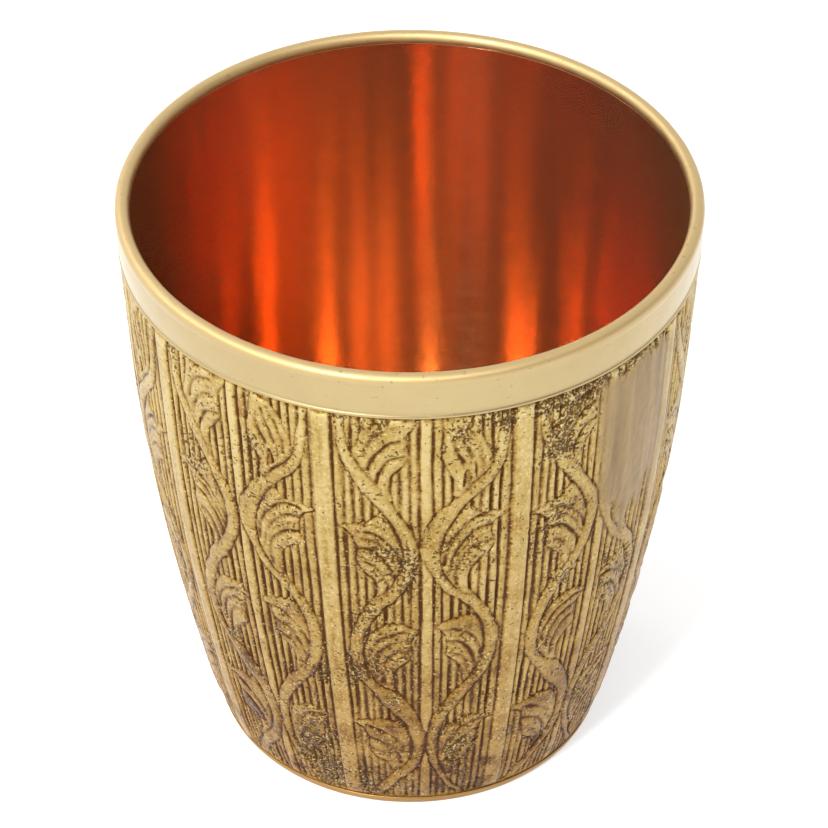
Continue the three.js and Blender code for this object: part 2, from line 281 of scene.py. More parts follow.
def wall_surface():
    lat, F = draw_panel()
    rng = np.random.default_rng(4120)
    u = np.arange(COLUMNS) / COLUMNS
    z = np.linspace(WALL_LOW, WALL_HIGH, ROWS)
    az, uu, kk = [], [], []
    for k, rib in enumerate(RIBS):
        nxt = RIBS[k + 1] if k + 1 < len(RIBS) else RIBS[0] + TURN
        az.append(rib + u * (nxt - rib))
        uu.append(u)
        kk.append(np.full(COLUMNS, k))
    az, uu, kk = np.concatenate(az), np.concatenate(uu), np.concatenate(kk)
    A, Z = np.meshgrid(az, z)
    U = np.broadcast_to(uu, A.shape)
    K = np.broadcast_to(kk, A.shape)
    W = panel_width(Z)

    # the hand that cut it: every panel a little different
    wob_x = 0.16 * noise(A, Z, 9.0, 8.0, 11) + 0.06 * noise(A, Z, 3.0, 3.0, 12)
    wob_z = 0.22 * noise(A, Z, 10.0, 9.0, 13) + 0.07 * noise(A, Z, 3.0, 3.0, 14)
    shift_x = np.zeros(len(RIBS))
    shift_z = np.zeros(len(RIBS))
    shift_x[3:] = rng.uniform(-0.35, 0.35, len(RIBS) - 3)
    shift_z[3:] = rng.uniform(-0.5, 0.5, len(RIBS) - 3)
    shift_x[0], shift_x[2] = -0.25, -0.2
    inner = smoothstep(U, 0.02, 0.12) * smoothstep(1 - U, 0.02, 0.12)
    X = (U - 0.5) * W + (wob_x + shift_x[K]) * inner
    V = Z + wob_z + shift_z[K]

    stem = sample(lat, F["stem"], X, V)
    leaf = sample(lat, F["leaf"], X, V)
    pierced = smoothstep(-sample(lat, F["hole"], X, V), -0.10, 0.16)
    vein = sample(lat, F["vein"], X, V)
    seam = sample(lat, F["seam"], X, V)

    # reeding: rounded threads with narrow valleys between them
    us = U + 0.0040 * noise(A, Z, 2.2, 12.0, 21) + 0.0022 * noise(A, Z, 1.1, 4.0, 24)
    near = np.abs(us[..., None] - GROOVES).min(-1) * W
    t = np.clip(near / (0.0225 * W), 0, 1)
    fade = 0.78 + 0.42 * noise(A, Z, 1.9, 9.0, 22) + 0.16 * noise(A, Z, 1.3, 2.5, 25)
    which = np.abs(us[..., None] - GROOVES).argmin(-1)
    own = rng.uniform(0.50, 1.30, (len(RIBS), len(GROOVES)))[K, which]
    own_width = rng.uniform(-0.13, 0.13, (len(RIBS), len(GROOVES)))[K, which]
    # the first and the last valley, against the ribs, are narrow and shallow
    own = own * np.where(which == 0, 0.72, 1.0) * np.where(which == len(GROOVES) - 1, 0.45, 1.0)
    own_width = own_width - 0.16 * ((which == 0) | (which == len(GROOVES) - 1))
    beside = 0.55 + 0.45 * smoothstep(np.minimum(stem, leaf), 0.1, 1.3)
    worn = smoothstep(-Z, -30.0, -6.0)
    eaten = smoothstep(fractal(A, Z, 6.0, 71, 3), -0.15, 0.50)
    r_depth = 0.38 * np.clip(fade * own, 0.10, 1.25) * beside * (1 - 0.28 * worn - 0.42 * worn * eaten)
    cut = 0.58 + own_width + 0.20 * noise(A, Z, 2.3, 6.0, 26)
    h = -0.25 - 0.09 * (1 - t) ** 2 - r_depth * (1 - smoothstep(t, cut - 0.50, cut + 0.24))

    # ribs between the panels, and the thin strip in the middle of each
    rib_d = np.minimum(U, 1 - U) * W
    rib = 1 - smoothstep(rib_d, 0.98, 1.42)
    h = h * (1 - rib) + (-0.06 - 0.07 * (rib_d / 1.1) ** 2) * rib
    strip_d = np.abs(us - 0.5125) * W
    strip = 1 - smoothstep(strip_d, 0.50, 0.80)
    h = h * (1 - strip) + (-0.12 - 0.05 * (strip_d / 0.6) ** 2) * strip

    # stems and leaves stand on the reeding, each in a cut outline
    ragged = (0.10 * noise(A, Z, math.degrees(1.3 / 37), 1.3, 32) + 0.07 * noise(A, Z, math.degrees(0.6 / 37), 0.6, 33)
              + 0.10 * noise(A, Z, math.degrees(3.0 / 37), 3.0, 37))
    keep = 1 - rib
    body = np.minimum(stem, leaf) + ragged
    strength = np.clip(0.45 + 1.00 * noise(A, Z, math.degrees(2.6 / 37), 2.6, 34), 0.0, 1.2)
    under = np.roll(body, -2, 0) - np.roll(body, 2, 0)        # negative below a shape
    under = np.clip(under / (Z[4, 0] - Z[0, 0]), -1, 1)
    moat = np.exp(-(((body - 0.13) / 0.17) ** 2)) * strength * (0.85 - 0.40 * under)
    e = np.clip(-(stem + ragged) / 1.2, 0, 1)
    stem_h = -0.42 + 0.37 * np.sqrt(1 - (1 - e) ** 2)
    e2 = np.clip(-(leaf + ragged) / 1.3, 0, 1)
    deep = np.clip(0.75 + 0.5 * noise(A, Z, math.degrees(2.2 / 37), 2.2, 38), 0.2, 1.2)
    leaf_h = -0.42 + 0.33 * np.sqrt(1 - (1 - e2) ** 2) - 0.30 * vein * deep
    leaf_h += 0.05 * noise(A, Z, math.degrees(2.4 / 37), 2.0, 35)
    on_stem = smoothstep(-(stem + ragged), -0.12, 0.06)
    on_leaf = smoothstep(-(leaf + ragged), -0.12, 0.06) * (1 - pierced)
    relief = np.maximum(np.where(on_stem > 0, stem_h, -9), np.where(on_leaf > 0, leaf_h, -9))
    relief = relief - 0.10 * worn
    on = np.maximum(on_stem, on_leaf)
    h_bg = h - 0.16 * moat * keep
    h = h_bg * (1 - on * keep) + np.maximum(relief, -0.70) * on * keep
    h -= 0.13 * seam * on * keep * strength

    # cast skin: uneven, and pitted where the metal was poor
    skin = fractal(A, Z, 1.6, 31, 4)
    h += (0.045 * skin + 0.020 * noise(A, Z, math.degrees(0.7 / 37), 0.7, 36)) * (0.35 + 0.65 * on * keep + 0.9 * worn)
    poor = fractal(A, Z, 8.0, 41, 3)
    for rib_k, du, zz, ru, rz, amount in POOR:
        a0 = RIBS[rib_k] + du * 40.0
        poor = poor + amount * np.exp(-(((A - a0) / ru) ** 2) - ((Z - zz) / rz) ** 2)
    poor = smoothstep(poor, 0.05, 1.25)
    rim = np.exp(-(((body - 0.05) / 0.32) ** 2)) * smoothstep(fractal(A, Z, 5.0, 44, 3), 0.0, 0.55)
    poor = np.clip(poor + 0.60 * rim, 0, 1) * (1 - 0.70 * rib) * (1 - 0.45 * strip)
    p1 = noise(A, Z, math.degrees(0.46 / 37), 0.42, 42)
    p2 = noise(A, Z, math.degrees(0.75 / 37), 0.65, 43)
    pits = np.maximum(smoothstep(p1, 0.93 - 0.50 * poor, 1.0 - 0.30 * poor),
                      0.8 * smoothstep(p2, 0.95 - 0.45 * poor, 1.0 - 0.25 * poor))
    h -= 0.16 * pits

    # the bare, smooth patch near the top of the panel to the right of the front one
    S_az = A - RIBS[2]
    edge = 2.0 * noise(A, Z, 6.0, 9.0, 51) + 1.0 * noise(A, Z, 1.6, 3.4, 53)
    drag = 3.0 * noise(A, Z, 2.0, 16.0, 55) + 1.6 * noise(A, Z, 0.9, 9.0, 56)
    bare = (smoothstep(S_az + edge, 16.4, 21.6) * smoothstep(-S_az + edge, -46.5, -39.5)
            * smoothstep(Z + edge + drag, 47.5, 58.0) * smoothstep(-Z + 0.35 * drag, -80.6, -78.2))
    flat = -0.16 + 0.06 * rib + 0.012 * fractal(A, Z, 2.5, 52, 3, 5.0)
    h = h * (1 - 0.92 * bare) + flat * 0.92 * bare + 0.02 * bare * noise(A, Z, 1.3, 14.0, 54)

    # worn and corroded: rough low down, crumbled beside some ribs
    low = smoothstep(-Z, -30.0, -4.0)
    rough = fractal(A, Z, 3.2, 61, 4)
    h -= 0.10 * low * smoothstep(rough, -0.1, 0.6)
    rot = smoothstep(fractal(A, Z, 4.5, 62, 4) + 0.26 * low + 0.35 * np.clip(poor - 0.6, 0, 1), 0.38, 0.80) * (1 - bare)
    h -= 0.10 * rot * (0.6 + 0.6 * fractal(A, Z, 0.8, 63, 2))
    h = np.minimum(h, -0.045)
    # it dies away into the foot and is cut off under the collar
    foot = smoothstep(-Z, -2.7, -1.7)
    h = h * (1 - foot) - 0.26 * foot
    crumb = 0.55 * noise(A, Z, 1.1, 0.8, 67) + 0.35 * noise(A, Z, 3.6, 2.0, 68)
    crumb = crumb * (1 - 0.75 * np.maximum(rib, strip))
    top = smoothstep(Z + crumb * smoothstep(-Z, -BAND_BOTTOM + 0.05, -BAND_BOTTOM + 0.5), BAND_BOTTOM - 0.75, BAND_BOTTOM - 0.1)
    h = h * (1 - top) + (np.minimum(h, -0.22) - 0.18) * top
    h = np.maximum(h, -0.80)

    # what the surface is covered with follows from its shape: dark in hollows, partly patina and partly painted shade;
    # crests painted lighter and flanks darker as painted relief shading
    near_mean, wide_mean = blurred(h, 2, 2), blurred(h, 7, 6)
    # hollows darkened: part patina that sits in the recesses, part painted shade where the relief shades itself
    hollow_patina_and_shade = np.clip((near_mean - h) / 0.10, 0, 1) * 0.38 + np.clip((wide_mean - h - 0.04) / 0.26, 0, 1) * 0.66
    # painted side light: flanks facing the left, towards the key lamp, are painted lighter
    painted_side_light = (np.roll(h, -1, 1) - np.roll(h, 1, 1)) / (2 * W / COLUMNS)
    painted_side_light = np.clip(blurred(painted_side_light, 1, 1), -0.7, 0.7)
    # painted relief shading: crests painted lighter, flanks and hollows painted darker
    painted_relief_shade = np.clip(0.5 + (h - wide_mean) / 0.56 + (h - near_mean) / 0.8 + 0.07 * painted_side_light, 0, 1)
    patchy = np.clip(0.78 + 1.05 * fractal(A, Z, 3.2, 65, 4), 0.12, 1.7)
    dark = hollow_patina_and_shade * patchy
    dark = np.maximum(dark, 0.95 * pits)
    dark = np.maximum(dark, top * np.clip(0.62 + 0.6 * noise(A, Z, 1.5, 1.0, 66), 0, 1))
    dark = np.maximum(dark, 0.25 * foot)
    dark = dark * (1 - 0.93 * bare)

    clean = np.maximum(rib, 0.75 * strip * (1 - on))
    clean = clean * (1 - 0.6 * rot)
    att = {
        "dark": np.clip(dark, 0, 1),
        "painted_relief_shade": painted_relief_shade,
        "clean": np.clip(clean, 0, 1),
        "raised": np.clip(on * keep * (1 - bare), 0, 1),
        "bare": bare * (1 - 0.55 * rib),
        "poor": np.clip(poor * (1 - bare), 0, 1),
        "crumbled": np.clip(rot, 0, 1),
    }
    return A + RIB_LEAN * (1 - Z / RIM_Z), Z, h, att


def blurred(h, rx, rz):
    """Mean over a box of the surface's lattice; closes round the cup."""
    out = sum(np.roll(h, k, 1) for k in range(-rx, rx + 1)) / (2 * rx + 1)
    pad = np.pad(out, ((rz, rz), (0, 0)), mode="edge")
    return sum(pad[k:k + h.shape[0]] for k in range(2 * rz + 1)) / (2 * rz + 1)


# places where the casting is poor: rib, position across the panel, height, extent, amount
POOR = [
    (1, 0.27, 57.5, 4.0, 4.0, 0.9), (1, 0.16, 41.0, 4.0, 7.0, 1.0), (1, 0.10, 33.0, 4.0, 4.0, 0.6),
    (1, 0.40, 56.0, 3.0, 4.0, 0.5), (1, 0.72, 14.0, 5.0, 5.0, 1.0), (1, 0.70, 78.0, 3.0, 3.0, 0.5),
    (1, 0.75, 70.5, 3.0, 3.0, 0.6), (1, 0.30, 77.0, 4.0, 3.0, 0.4), (1, 0.30, 36.0, 4.0, 6.0, 0.5),
    (1, 0.02, 6.0, 4.0, 3.5, 1.3), (0, 0.95, 6.5, 4.0, 3.5, 1.3), (0, 0.90, 30.0, 3.5, 2.5, 1.0),
    (1, 0.02, 30.0, 3.0, 2.5, 1.0), (0, 0.98, 37.0, 2.5, 1.6, 0.9), (0, 0.75, 12.0, 8.0, 8.0, 0.9),
    (2, 0.20, 74.0, 6.0, 6.0, 0.8), (2, 0.25, 60.0, 6.0, 6.0, 0.6), (2, 0.30, 45.0, 6.0, 6.0, 0.5),
    (2, 0.55, 20.0, 9.0, 9.0, 0.5), (1, 0.97, 80.0, 4.0, 1.6, 1.4), (2, 0.30, 80.0, 12.0, 1.4, 1.5),
    (2, 0.85, 80.2, 9.0, 1.2, 1.6),
]


# =====================================================================================
# Mesh helpers
# =====================================================================================
def build_mesh(name, verts, quads, tris=None):
    me = bpy.data.meshes.new(name)
    nq = len(quads)
    nt = 0 if tris is None else len(tris)
    loops = np.concatenate([quads.ravel(), tris.ravel()]) if nt else quads.ravel()
    starts = np.concatenate([np.arange(nq) * 4, nq * 4 + np.arange(nt) * 3])
    me.vertices.add(len(verts))
    me.vertices.foreach_set("co", np.ascontiguousarray(verts, dtype=np.float32).ravel())
    me.loops.add(len(loops))
    me.loops.foreach_set("vertex_index", loops.astype(np.int32))
    me.polygons.add(nq + nt)
    me.polygons.foreach_set("loop_start", starts.astype(np.int32))
    me.update(calc_edges=True)
    me.polygons.foreach_set("use_smooth", np.ones(nq + nt, dtype=bool))
    me.validate()
    me.update()
    ob = bpy.data.objects.new(name, me)
    bpy.context.scene.collection.objects.link(ob)
    return ob


def ring_grid(rows, cols, close_rows):
    """Quads of a grid that closes round the cup (and over its rows when asked)."""
    j = np.arange(rows if close_rows else rows - 1)[:, None]
    i = np.arange(cols)[None, :]
    jn, inx = (j + 1) % rows, (i + 1) % cols
    q = np.stack([j * cols + i, j * cols + inx, jn * cols + inx, jn * cols + i], -1)
    return q.reshape(-1, 4)


def to_xyz(az_deg, r, z):
    a = np.radians(az_deg)
    return np.stack([r * np.sin(a), -r * np.cos(a), z], -1) * 1e-3


def lathe(name, profile, segments, wobble=None):
    """A closed loop of (r, z) turned round the axis, or one that starts and ends on it."""
    p = np.array(profile, float)
    on_axis = p[0, 0] == 0 and p[-1, 0] == 0
    ring = p[1:-1] if on_axis else p
    az = np.arange(segments) * TURN / segments
    A, R = np.meshgrid(az, ring[:, 0])
    _, Z = np.meshgrid(az, ring[:, 1])
    if wobble is not None:
        R, Z = wobble(A, R, Z)
    v = to_xyz(A, R, Z).reshape(-1, 3)
    n = len(ring)
    quads = ring_grid(n, segments, not on_axis)
    tris = None
    if on_axis:
        v = np.vstack([v, [[0, 0, p[0, 1] * 1e-3]], [[0, 0, p[-1, 1] * 1e-3]]])
        i = np.arange(segments)
        nx = (i + 1) % segments
        a, b = len(v) - 2, len(v) - 1
        first = np.stack([np.full(segments, a), nx, i], 1)
        last = np.stack([np.full(segments, b), (n - 1) * segments + i, (n - 1) * segments + nx], 1)
        tris = np.vstack([first, last])
    return build_mesh(name, v, quads, tris)


def face_out(ob):
    """Turns the faces outwards when the closed mesh came out inside out."""
    me = ob.data
    n = len(me.vertices)
    co = np.empty(n * 3, np.float32)
    me.vertices.foreach_get("co", co)
    co = co.reshape(-1, 3).astype(float)
    me.calc_loop_triangles()
    t = np.empty(len(me.loop_triangles) * 3, np.int32)
    me.loop_triangles.foreach_get("vertices", t)
    t = t.reshape(-1, 3)
    vol = np.einsum("ij,ij->i", co[t[:, 0]], np.cross(co[t[:, 1]], co[t[:, 2]])).sum()
    if vol < 0:
        me.flip_normals()
    return ob


def resample(profile, step):
    p = np.array(profile, float)
    out = [p[0]]
    for a, b in zip(p[:-1], p[1:]):
        n = max(1, int(math.ceil(np.linalg.norm(b - a) / step)))
        for t in np.linspace(0, 1, n + 1)[1:]:
            out.append(a + (b - a) * t)
    return [tuple(q) for q in out]


# =====================================================================================
# Node helpers
# =====================================================================================
class Mat:
    def __init__(self, name):
        self.m = bpy.data.materials.new(name)
        self.m.use_nodes = True
        self.t = self.m.node_tree
        self.b = self.t.nodes["Principled BSDF"]

    def node(self, kind, **kw):
        n = self.t.nodes.new(kind)
        for k, v in kw.items():
            setattr(n, k, v)
        return n

    def link(self, a, b):
        self.t.links.new(a, b)

    def coords(self, scale=(1, 1, 1)):
        tc = self.node("ShaderNodeTexCoord")
        mp = self.node("ShaderNodeMapping")
        mp.inputs["Scale"].default_value = scale
        self.link(tc.outputs["Object"], mp.inputs["Vector"])
        return mp.outputs["Vector"]

    def noise(self, scale, detail=3.0, rough=0.55, stretch=(1, 1, 1), distortion=0.0):
        n = self.node("ShaderNodeTexNoise")
        n.inputs["Scale"].default_value = scale
        n.inputs["Detail"].default_value = detail
        n.inputs["Roughness"].default_value = rough
        n.inputs["Distortion"].default_value = distortion
        self.link(self.coords(stretch), n.inputs["Vector"])
        return n.outputs["Fac"]

    def attr(self, name):
        n = self.node("ShaderNodeAttribute", attribute_name=name)
        return n.outputs["Fac"]

    def ramp(self, fac, a, b, lo=0.0, hi=1.0):
        n = self.node("ShaderNodeMapRange", clamp=True)
        n.inputs["From Min"].default_value = a
        n.inputs["From Max"].default_value = b
        n.inputs["To Min"].default_value = lo
        n.inputs["To Max"].default_value = hi
        self.link(fac, n.inputs["Value"])
        return n.outputs["Result"]

    def math(self, op, a, b, clamp=False):
        n = self.node("ShaderNodeMath", operation=op, use_clamp=clamp)
        for s, v in zip(n.inputs, (a, b)):
            if isinstance(v, (int, float)):
                s.default_value = v
            else:
                self.link(v, s)
        return n.outputs["Value"]

    def mix(self, fac, a, b, blend="MIX"):
        n = self.node("ShaderNodeMix", data_type="RGBA", blend_type=blend)
        n.inputs[0].default_value = 1.0
        if not isinstance(fac, (int, float)):
            self.link(fac, n.inputs[0])
        else:
            n.inputs[0].default_value = fac
        for s, v in ((n.inputs[6], a), (n.inputs[7], b)):
            if isinstance(v, tuple):
                s.default_value = (*v, 1.0)
            else:
                self.link(v, s)
        return n.outputs[2]

    def bump(self, height, strength, distance, after=None):
        n = self.node("ShaderNodeBump")
        n.inputs["Strength"].default_value = strength
        n.inputs["Distance"].default_value = distance
        self.link(height, n.inputs["Height"])
        if after is not None:
            self.link(after, n.inputs["Normal"])
        return n.outputs["Normal"]

    def out(self, **kw):
        for k, v in kw.items():
            s = self.b.inputs[k]
            if isinstance(v, (int, float)):
                s.default_value = v
            elif isinstance(v, tuple):
                s.default_value = (*v, 1.0)
            else:
                self.link(v, s)
        return self.m


def cast_brass():
    m = Mat("cast_brass")
    dark, clean, painted_relief_shade = m.attr("dark"), m.attr("clean"), m.attr("painted_relief_shade")
    raised, bare, poor, crumbled = m.attr("raised"), m.attr("bare"), m.attr("poor"), m.attr("crumbled")
    sep = m.node("ShaderNodeSeparateXYZ")
    tc = m.node("ShaderNodeTexCoord")
    m.link(tc.outputs["Object"], sep.inputs[0])
    # darker and browner towards the bottom: part browner patina low down, part painted shade standing in for the
    # shadowed floor that the lower wall reflects
    lower = m.ramp(sep.outputs["Z"], 0.078, 0.006)

    big = m.noise(110, 4, 0.6)
    fine = m.noise(750, 5, 0.65)
    grit = m.noise(1900, 3, 0.6)
    stain = m.noise(330, 4, 0.6, (1, 1, 0.45))
    brushed = m.noise(1100, 4, 0.6, (1, 1, 0.05))
    streak = m.noise(420, 3, 0.6, (1, 1, 0.08))
    not_bare = m.math("SUBTRACT", 1.0, m.math("MULTIPLY", bare, 0.93))
    # level: painted relief shading, hollows dark (part patina, part painted shade), flanks painted brown, crests
    # painted pale, all of it patchy
    level = m.math("ADD", painted_relief_shade, m.ramp(big, 0.30, 0.70, 0.15, -0.11))
    level = m.math("ADD", level, m.ramp(fine, 0.25, 0.75, -0.20, 0.20))
    level = m.math("ADD", level, m.ramp(grit, 0.25, 0.75, -0.22, 0.20))
    level = m.math("ADD", level, m.ramp(stain, 0.30, 0.70, -0.10, 0.08))
    level = m.math("ADD", level, m.math("MULTIPLY", m.ramp(brushed, 0.30, 0.70, -0.16, 0.14), clean))
    level = m.math("SUBTRACT", level, m.math("MULTIPLY", dark, 0.15))
    level = m.math("ADD", level, m.math("MULTIPLY", clean, 0.14))
    level = m.math("SUBTRACT", level, m.math("MULTIPLY", crumbled, 0.22))
    mottle = m.ramp(m.noise(190, 5, 0.65), 0.42, 0.60)
    level = m.math("SUBTRACT", level, m.math("MULTIPLY", m.math("MULTIPLY", lower, mottle), 0.40))
    cr = m.node("ShaderNodeValToRGB")
    m.link(level, cr.inputs["Fac"])
    e = cr.color_ramp.elements
    e[0].position, e[0].color = 0.0, (0.084, 0.029, 0.003, 1)
    e[1].position, e[1].color = 0.92, (0.518, 0.400, 0.176, 1)
    for p, c in ((0.17, (0.178, 0.090, 0.017)), (0.35, (0.306, 0.186, 0.048)), (0.56, (0.396, 0.276, 0.080))):
        n = cr.color_ramp.elements.new(p)
        n.color = (*c, 1)
    base = cr.outputs["Color"]
    # painted shade and patina at the bottom: the base colour is multiplied darker and browner low down
    base = m.mix(lower, base, m.mix(1.0, base, (0.745, 0.595, 0.42), "MULTIPLY"))
    plain = m.mix(m.ramp(m.math("ADD", m.math("MULTIPLY", brushed, 0.4), m.math("MULTIPLY", streak, 0.6)), 0.38, 0.64), (0.215, 0.143, 0.062), (0.325, 0.222, 0.104))
    base = m.mix(m.math("MULTIPLY", bare, 0.94), base, plain)
    density = m.math("ADD", m.math("MULTIPLY", poor, 0.215), m.math("MULTIPLY", raised, 0.012))
    density = m.math("ADD", density, m.math("MULTIPLY", lower, 0.022))
    cluster = m.ramp(m.noise(230, 4, 0.6), 0.50, 0.68)
    where = m.math("ADD", m.math("MULTIPLY", raised, 0.55), m.math("MULTIPLY", lower, 0.75), clamp=True)
    cluster = m.math("MULTIPLY", cluster, where)
    density = m.math("ADD", density, m.math("MULTIPLY", cluster, 0.125))
    spot = m.math("SUBTRACT", m.math("ADD", m.noise(2050, 2, 0.5), density), m.math("MULTIPLY", clean, 0.035))
    specks = m.math("MULTIPLY", m.ramp(spot, 0.650, 0.680), not_bare)
    base = m.mix(m.math("MULTIPLY", specks, 0.90), base, (0.078, 0.033, 0.004))
    # painted glints: pale specks in the base colour stand in for sparks of light on the grain
    glint = m.math("SUBTRACT", m.math("ADD", m.noise(2900, 2, 0.5, (1, 1, 0.9)), m.math("MULTIPLY", m.math("MAXIMUM", poor, cluster), 0.075)), m.math("MULTIPLY", dark, 0.05))
    glints = m.math("MULTIPLY", m.ramp(glint, 0.63, 0.68), not_bare)
    base = m.mix(m.math("MULTIPLY", glints, 0.45), base, (0.76, 0.63, 0.34))

    rough = m.ramp(fine, 0.3, 0.7, 0.40, 0.54)
    rough = m.math("ADD", rough, m.math("MULTIPLY", dark, 0.20), clamp=True)
    rough = m.math("SUBTRACT", rough, m.math("MULTIPLY", clean, 0.06), clamp=True)
    metal = m.ramp(dark, 0.0, 1.0, 0.86, 0.62)

    n1 = m.bump(brushed, 0.25, 0.00004)
    n2 = m.bump(m.noise(2400, 4, 0.65), 0.70, 0.00010, n1)
    n3 = m.bump(fine, 0.55, 0.00016, n2)
    n4 = m.bump(m.math("SUBTRACT", 1.0, specks), 0.7, 0.00012, n3)
    return m.out(**{"Base Color": base, "Roughness": rough, "Metallic": metal, "Normal": n4,
                    "Specular IOR Level": 0.12, "Coat Weight": 0.5, "Coat IOR": 1.10, "Coat Roughness": 0.28})


def polished_brass():
    m = Mat("polished_brass")
    cloud = m.ramp(m.noise(60, 4, 0.6), 0.35, 0.68)
    base = m.mix(cloud, (0.455, 0.350, 0.168), (0.420, 0.312, 0.145))
    stain = m.ramp(m.noise(420, 5, 0.7, (1, 1, 1.8)), 0.58, 0.80)
    base = m.mix(m.math("MULTIPLY", stain, 0.40), base, (0.39, 0.28, 0.13))
    sep = m.node("ShaderNodeSeparateXYZ")
    tc = m.node("ShaderNodeTexCoord")
    m.link(tc.outputs["Object"], sep.inputs[0])
    rim = m.ramp(sep.outputs["Z"], 0.0870, 0.0880)
    # painted light: the lip carries a lighter copy of the brass colour than the face, so it reads as the lit part
    base = m.mix(m.math("MULTIPLY", rim, 0.8), base, (0.548, 0.395, 0.180))
    specks = m.ramp(m.noise(1500, 2, 0.5), 0.69, 0.74)
    base = m.mix(m.math("MULTIPLY", specks, 0.5), base, (0.25, 0.17, 0.08))
    rough = m.ramp(m.noise(320, 4, 0.6), 0.3, 0.7, 0.33, 0.43)
    rough = m.math("ADD", rough, m.math("MULTIPLY", rim, 0.18), clamp=True)
    rings = m.noise(160, 4, 0.65, (1, 1, 40))
    n1 = m.bump(rings, 0.12, 0.00005)
    n2 = m.bump(m.noise(500, 3, 0.5), 0.10, 0.0001, n1)
    return m.out(**{"Base Color": base, "Roughness": rough, "Metallic": 1.0, "Normal": n2,
                    "Coat Weight": 1.0, "Coat IOR": 1.20, "Coat Roughness": 0.30})


def foot_brass():
    m = Mat("foot_brass")
    cloud = m.ramp(m.noise(80, 4, 0.6), 0.35, 0.68)
    base = m.mix(cloud, (0.375, 0.216, 0.066), (0.335, 0.186, 0.053))
    stain = m.ramp(m.noise(600, 5, 0.7), 0.58, 0.76)
    base = m.mix(m.math("MULTIPLY", stain, 0.5), base, (0.34, 0.20, 0.075))
    rough = m.ramp(m.noise(500, 4, 0.6), 0.3, 0.7, 0.40, 0.52)
    n1 = m.bump(m.noise(160, 4, 0.65, (1, 1, 40)), 0.12, 0.00005)
    return m.out(**{"Base Color": base, "Roughness": rough, "Metallic": 1.0, "Normal": n1})


def spun_copper():
    m = Mat("spun_copper")
    cloud = m.ramp(m.noise(45, 4, 0.6), 0.35, 0.68)
    base = m.mix(cloud, (0.708, 0.416, 0.214), (0.672, 0.380, 0.190))
    film = m.ramp(m.noise(130, 5, 0.65, (1, 1, 0.30)), 0.50, 0.78)
    base = m.mix(m.math("MULTIPLY", film, 0.30), base, (0.59, 0.30, 0.14))
    dots = m.ramp(m.noise(1300, 2, 0.5), 0.70, 0.76)
    base = m.mix(m.math("MULTIPLY", dots, 0.35), base, (0.30, 0.15, 0.09))
    rough = m.ramp(m.noise(200, 4, 0.6, (1, 1, 6)), 0.3, 0.7, 0.09, 0.13)
    tan = m.node("ShaderNodeTangent", direction_type="RADIAL", axis="Z")
    m.link(tan.outputs["Tangent"], m.b.inputs["Tangent"])
    lines = m.noise(120, 5, 0.7, (0.25, 0.25, 50))
    n1 = m.bump(lines, 0.15, 0.00004)
    return m.out(**{"Base Color": base, "Roughness": rough, "Metallic": 0.965, "Anisotropic": 1.0,
                    "Anisotropic Rotation": 0.25, "Normal": n1})


def turned_brass():
    m = Mat("turned_brass")
    tc = m.node("ShaderNodeTexCoord")
    wave = m.node("ShaderNodeTexWave", wave_type="RINGS", rings_direction="Z")
    wave.inputs["Scale"].default_value = 420
    wave.inputs["Distortion"].default_value = 0.6
    wave.inputs["Detail"].default_value = 2.0
    m.link(tc.outputs["Object"], wave.inputs["Vector"])
    cloud = m.ramp(m.noise(90, 4, 0.6), 0.35, 0.68)
    base = m.mix(cloud, (0.72, 0.55, 0.29), (0.58, 0.42, 0.21))
    rough = m.ramp(m.noise(400, 4, 0.6), 0.3, 0.7, 0.30, 0.46)
    n1 = m.bump(wave.outputs["Fac"], 0.25, 0.00008)
    return m.out(**{"Base Color": base, "Roughness": rough, "Metallic": 1.0, "Normal": n1})


def solder_grey():
    m = Mat("solder_grey")
    cloud = m.ramp(m.noise(700, 4, 0.6), 0.3, 0.7)
    base = m.mix(cloud, (0.60, 0.59, 0.56), (0.40, 0.39, 0.37))
    rough = m.ramp(m.noise(900, 3, 0.6), 0.3, 0.7, 0.40, 0.60)
    n1 = m.bump(m.noise(1100, 3, 0.6), 0.4, 0.0001)
    return m.out(**{"Base Color": base, "Roughness": rough, "Metallic": 1.0, "Normal": n1})


def floor_white():
    """A back-lit white sweep: pale, and bright enough to hide most of the shadow."""
    m = Mat("studio_floor")
    cloud = m.ramp(m.noise(3, 2, 0.5), 0.3, 0.7)
    base = m.mix(cloud, (0.55, 0.55, 0.55), (0.54, 0.54, 0.54))
    return m.out(**{"Base Color": base, "Roughness": 0.9, "Specular IOR Level": 0.1,
                    "Emission Color": (1.0, 1.0, 1.0), "Emission Strength": 0.525})


# =====================================================================================
# Pieces
# =====================================================================================
def settle(ob, mat, nodes):
    face_out(ob)
    ob.data.materials.clear()
    ob.data.materials.append(mat)
    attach(ob, "root")
    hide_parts(*nodes)
    return ob


def make_wall():
    A, Z, h, att = wall_surface()
    rows, cols = A.shape
    R = outline(Z) + h
    outer = to_xyz(A, R, Z)
    lean_top = RIB_LEAN * (1 - BAND_BOTTOM / RIM_Z)
    a_top = A[-1] - lean_top
    loops = []
    # over the step under the collar, up, and back down the inside
    for r_off, z in ((-0.62, WALL_HIGH), (-0.62, 83.5), (-0.62, 85.9), (-1.25, 85.9), (-1.25, 78.0), (-1.25, 66.0),
                     (-1.25, 50.0), (-1.25, 37.0), (-1.25, 26.0), (-1.25, 17.0), (-1.25, 10.0), (-1.25, 5.0),
                     (-1.25, WALL_LOW + 0.25), (-1.00, WALL_LOW)):
        az = a_top + RIB_LEAN * (1 - z / RIM_Z)
        loops.append(to_xyz(az, np.full(cols, outline(z) + r_off), np.full(cols, z)))
    verts = np.concatenate([outer, np.stack(loops)], 0).reshape(-1, 3)
    total = rows + len(loops)
    ob = build_mesh("tumbler_wall", verts, ring_grid(total, cols, True))
    me = ob.data
    for name, values in att.items():
        full = np.zeros((total, cols), np.float32)
        full[:rows] = values
        full[rows:] = 0.3 if name == "dark" else 0.0
        a = me.attributes.new(name, "FLOAT", "POINT")
        a.data.foreach_set("value", full.ravel())
    return ob


